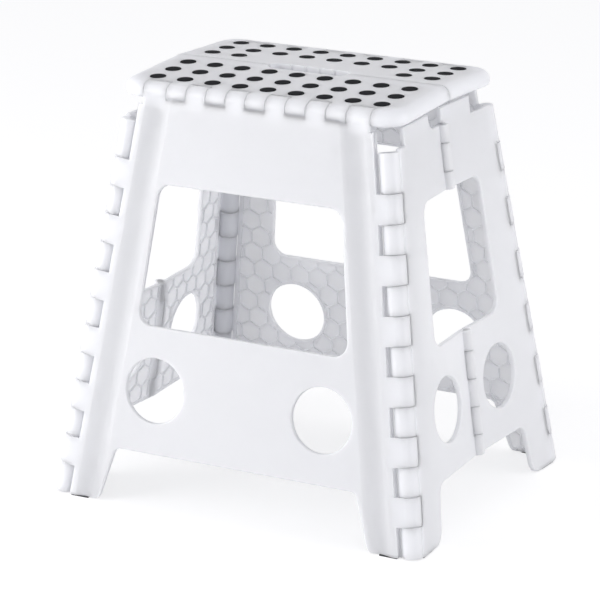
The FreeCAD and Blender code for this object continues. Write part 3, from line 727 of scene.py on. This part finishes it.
@dataclass
class Dots:
    """The rubber dots on the tread, each a low crowned button in its pocket."""

    rubber: bpy.types.Material
    segments: int = 40
    crown: float = 0.2 * MM
    crown_rings: int = 4
    rim_radius: float = 0.35 * MM
    rim_rings: int = 3
    depth: float = 1.1 * MM
    weld: float = 0.001 * MM
    upward: float = math.cos(math.radians(25))
    names: tuple[str, str] = ("front_top_dots", "rear_top_dots")

    def build(self) -> list[bpy.types.Object]:
        """Make the dots of both top halves.

        Returns:
            The pieces.
        """
        return [self.half(node) for node in self.names]

    def half(self, node: str) -> bpy.types.Object:
        """Make the dots of one top half.

        Args:
            node: the node with the plain dots.

        Returns:
            The piece.
        """
        plain = merged_copy(node)
        mesh = bmesh.new()
        for cap in plain.faces:
            if cap.normal.z > self.upward:
                self.button(mesh, cap)
        plain.free()
        bmesh.ops.remove_doubles(mesh, verts=mesh.verts, dist=self.weld)
        bmesh.ops.recalc_face_normals(mesh, faces=mesh.faces)
        for face in mesh.faces:
            face.smooth = True
        piece = new_piece(node.replace("_dots", "_rubber_dots"), mesh, node)
        dress(piece, self.rubber)
        return piece

    def profile(self, radius: float) -> list[tuple[float, float]]:
        """Draw half of a dot's section, from the top of its crown to the middle of its base.

        Args:
            radius: the dot's radius.

        Returns:
            Distance from the axis and height over the rim, point by point.
        """
        flat = radius - self.rim_radius
        points = []
        for ring in range(self.crown_rings + 1):
            share = ring / self.crown_rings
            points.append((flat * share, self.crown * (1 - share * share)))
        for ring in range(1, self.rim_rings + 1):
            turn = math.pi / 2 * ring / self.rim_rings
            points.append((flat + self.rim_radius * math.sin(turn), self.rim_radius * (math.cos(turn) - 1)))
        return points + [(radius, -self.depth), (0.0, -self.depth)]

    def button(self, mesh: bmesh.types.BMesh, cap: bmesh.types.BMFace) -> None:
        """Turn one dot about the axis of the plain one.

        Args:
            mesh: the mesh that gets the dot.
            cap: the upper face of the plain dot.
        """
        centre = cap.calc_center_median()
        radius = max((vert.co - centre).length for vert in cap.verts)
        outward = (cap.verts[0].co - centre).normalized()
        line = [mesh.verts.new(centre + outward * out + cap.normal * up) for out, up in self.profile(radius)]
        edges = [mesh.edges.new(pair) for pair in zip(line, line[1:])]
        turned = bmesh.ops.spin(
            mesh,
            geom=line + edges,
            cent=centre,
            axis=cap.normal,
            angle=2 * math.pi,
            steps=self.segments,
            use_merge=True,
        )
        LOG.debug("dot of %d rings", len(turned["geom_last"]))


@dataclass
class FootPads:
    """The rubber pads under the feet, with soft edges and a ribbed sole."""

    rubber: bpy.types.Material
    edge_radius: float = 0.2 * MM
    edge_segments: int = 2
    sharp_angle: float = math.radians(60)
    rib_pitch: float = 2.4 * MM
    groove_depth: float = 0.4 * MM
    groove_border: float = 0.5 * MM
    downward: float = -math.cos(math.radians(25))

    def build(self) -> list[bpy.types.Object]:
        """Make all pads.

        Returns:
            The pieces.
        """
        return [self.pad(node) for node in sorted(frame["nodes"]) if node.endswith("foot_pad")]

    def pad(self, node: str) -> bpy.types.Object:
        """Make one pad.

        Args:
            node: the node with the plain pad.

        Returns:
            The piece.
        """
        mesh = merged_copy(node)
        self.cut_grooves(mesh)
        bmesh.ops.bevel(
            mesh,
            geom=[edge for edge in mesh.edges if edge.calc_face_angle(0) > self.sharp_angle],
            affect="EDGES",
            offset=self.edge_radius,
            segments=self.edge_segments,
            profile=0.5,
            material=-1,
            clamp_overlap=True,
        )
        piece = new_piece(node.replace("_foot_pad", "_rubber_foot"), mesh, node)
        dress(piece, self.rubber)
        return piece

    def cut_grooves(self, mesh: bmesh.types.BMesh) -> None:
        """Sink every second strip of the sole.

        Args:
            mesh: the pad's mesh, a plain block.
        """
        sole = min(mesh.faces, key=lambda face: face.normal.z)
        long_edge = max(sole.edges, key=lambda edge: edge.calc_length())
        ends = [vert.co.copy() for vert in long_edge.verts]
        along = (ends[1] - ends[0]).normalized()
        length = (ends[1] - ends[0]).length
        count = 2 * round((length / self.rib_pitch - 1) / 2) + 1
        for number in range(1, count):
            bmesh.ops.bisect_plane(
                mesh,
                geom=mesh.verts[:] + mesh.edges[:] + mesh.faces[:],
                plane_co=ends[0] + along * (length * number / count),
                plane_no=along,
            )
        strips = [face for face in mesh.faces if face.normal.z < self.downward]
        strips.sort(key=lambda face: face.calc_center_median().dot(along))
        grooves = strips[1::2]
        inner = bmesh.ops.inset_individual(mesh, faces=grooves, thickness=self.groove_border, depth=0.0)
        sunk = bmesh.ops.extrude_discrete_faces(mesh, faces=grooves)
        verts = {vert for face in sunk["faces"] for vert in face.verts}
        bmesh.ops.translate(mesh, verts=list(verts), vec=Vector((0, 0, self.groove_depth)))
        LOG.debug("%d rims round %d grooves", len(inner["faces"]), len(grooves))


@dataclass
class Pins:
    """The hinge pins, which keep their frame meshes."""

    steel: bpy.types.Material

    def build(self) -> list[bpy.types.Object]:
        """Dress all pins.

        Returns:
            The pins.
        """
        pins = [frame["nodes"][node] for node in sorted(frame["nodes"]) if node.endswith("_pin")]
        for pin in pins:
            dress(pin, self.steel)
            LOG.info("%s: drawn steel", pin.name)
        return pins


@dataclass(frozen=True)
class Softbox:
    """One large soft lamp, aimed at the middle of the stool."""

    name: str
    place: tuple[float, float, float]
    width: float
    watts: float
    colour: str = "#ffffff"

    def build(self, aim: Vector) -> bpy.types.Object:
        """Hang the lamp.

        Args:
            aim: the point that it faces.

        Returns:
            The lamp.
        """
        data = bpy.data.lights.new(self.name, "AREA")
        data.shape = "SQUARE"
        data.size = self.width
        data.energy = self.watts
        data.color = linear(self.colour)[:3]
        lamp = bpy.data.objects.new(self.name, data)
        bpy.context.scene.collection.objects.link(lamp)
        lamp.location = Vector(self.place)
        lamp.rotation_euler = (aim - lamp.location).to_track_quat("-Z", "Y").to_euler()
        return lamp


@dataclass
class Studio:
    """Paper floor, even room light, soft lamps and the camera of the photograph."""

    paper: bpy.types.Material
    floor_width: float = 24.0
    wall_strength: float = 0.15
    ceiling_strength: float = 0.84
    room_colour: str = "#fbfbff"
    aim: Vector = field(default_factory=lambda: Vector((0.0, 0.0, 0.19)))
    lamps: tuple[Softbox, ...] = (
        Softbox("left_softbox", place=(-1.95, -1.75, 0.89), width=1.8, watts=48.0),
        Softbox("right_softbox", place=(2.55, 0.45, 0.89), width=1.8, watts=25.0),
        Softbox("camera_softbox", place=(1.60, -2.98, 0.90), width=1.8, watts=17.0),
    )
    eye: tuple[float, float, float] = (1.3373, -2.4807, 1.0515)
    yaw: float = math.radians(-28.50)
    pitch: float = math.radians(17.34)
    roll: float = math.radians(-0.14)
    focal_pixels: float = 3199.0
    frame_pixels: float = 600.0

    def build(self) -> None:
        """Set the whole studio up."""
        self.lay_floor()
        self.light_room()
        for lamp in self.lamps:
            lamp.build(self.aim)
        self.place_camera()
        bpy.context.scene.view_settings.view_transform = "Standard"

    def lay_floor(self) -> None:
        """Lay the paper on the floor."""
        mesh = bmesh.new()
        bmesh.ops.create_grid(mesh, x_segments=1, y_segments=1, size=self.floor_width / 2)
        data = bpy.data.meshes.new("studio_floor")
        mesh.to_mesh(data)
        mesh.free()
        floor = bpy.data.objects.new("studio_floor", data)
        bpy.context.scene.collection.objects.link(floor)
        dress(floor, self.paper)

    def light_room(self) -> None:
        """Fill the room with light from dim walls and a pale ceiling, white where it is seen."""
        world = bpy.data.worlds.new("studio_room")
        bpy.context.scene.world = world
        world.use_nodes = True
        tree = world.node_tree
        tree.nodes.clear()
        direction = add_node(tree, "ShaderNodeTexCoord").outputs["Generated"]
        height = add_node(tree, "ShaderNodeSeparateXYZ", None, {0: direction}).outputs["Z"]
        strength = add_node(
            tree,
            "ShaderNodeMapRange",
            {"To Min": self.wall_strength, "To Max": self.ceiling_strength},
            {"Value": height},
        )
        room = add_node(
            tree,
            "ShaderNodeBackground",
            {"Color": linear(self.room_colour)},
            {"Strength": strength.outputs[0]},
        )
        white = add_node(tree, "ShaderNodeBackground", {"Color": linear("#ffffff"), "Strength": FULL})
        shown = add_node(
            tree,
            "ShaderNodeMixShader",
            None,
            {0: seen_directly(tree), 1: room.outputs[0], 2: white.outputs[0]},
        )
        add_node(tree, "ShaderNodeOutputWorld", None, {"Surface": shown.outputs[0]})

    def place_camera(self) -> None:
        """Stand the camera where the photograph was taken from."""
        data = bpy.data.cameras.new("photo_camera")
        data.lens = self.focal_pixels / self.frame_pixels * data.sensor_width
        camera = bpy.data.objects.new("photo_camera", data)
        bpy.context.scene.collection.objects.link(camera)
        level = math.cos(self.pitch)
        ahead = Vector((math.sin(self.yaw) * level, math.cos(self.yaw) * level, -math.sin(self.pitch)))
        turn = ahead.to_track_quat("-Z", "Y").to_matrix() @ Matrix.Rotation(self.roll, 3, "Z")
        camera.location = Vector(self.eye)
        camera.rotation_euler = turn.to_euler()
        bpy.context.scene.camera = camera


def main() -> None:
    logging.basicConfig(level=logging.INFO, format="%(name)s: %(message)s")
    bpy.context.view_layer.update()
    smooth = MouldedPolypropylene().build()
    grained = PebbledPolypropylene().build()
    dot_rubber = MouldedRubber("rubber_moulded_black", "#141518", "#1d1e22").build()
    foot_rubber = MouldedRubber("rubber_moulded_grey", "#3c3d40", "#47484b").build()
    Panels(smooth, grained).build()
    Dots(dot_rubber).build()
    FootPads(foot_rubber).build()
    Pins(DrawnSteel().build()).build()
    Studio(StudioPaper().build()).build()


if __name__ == "__main__":
    main()
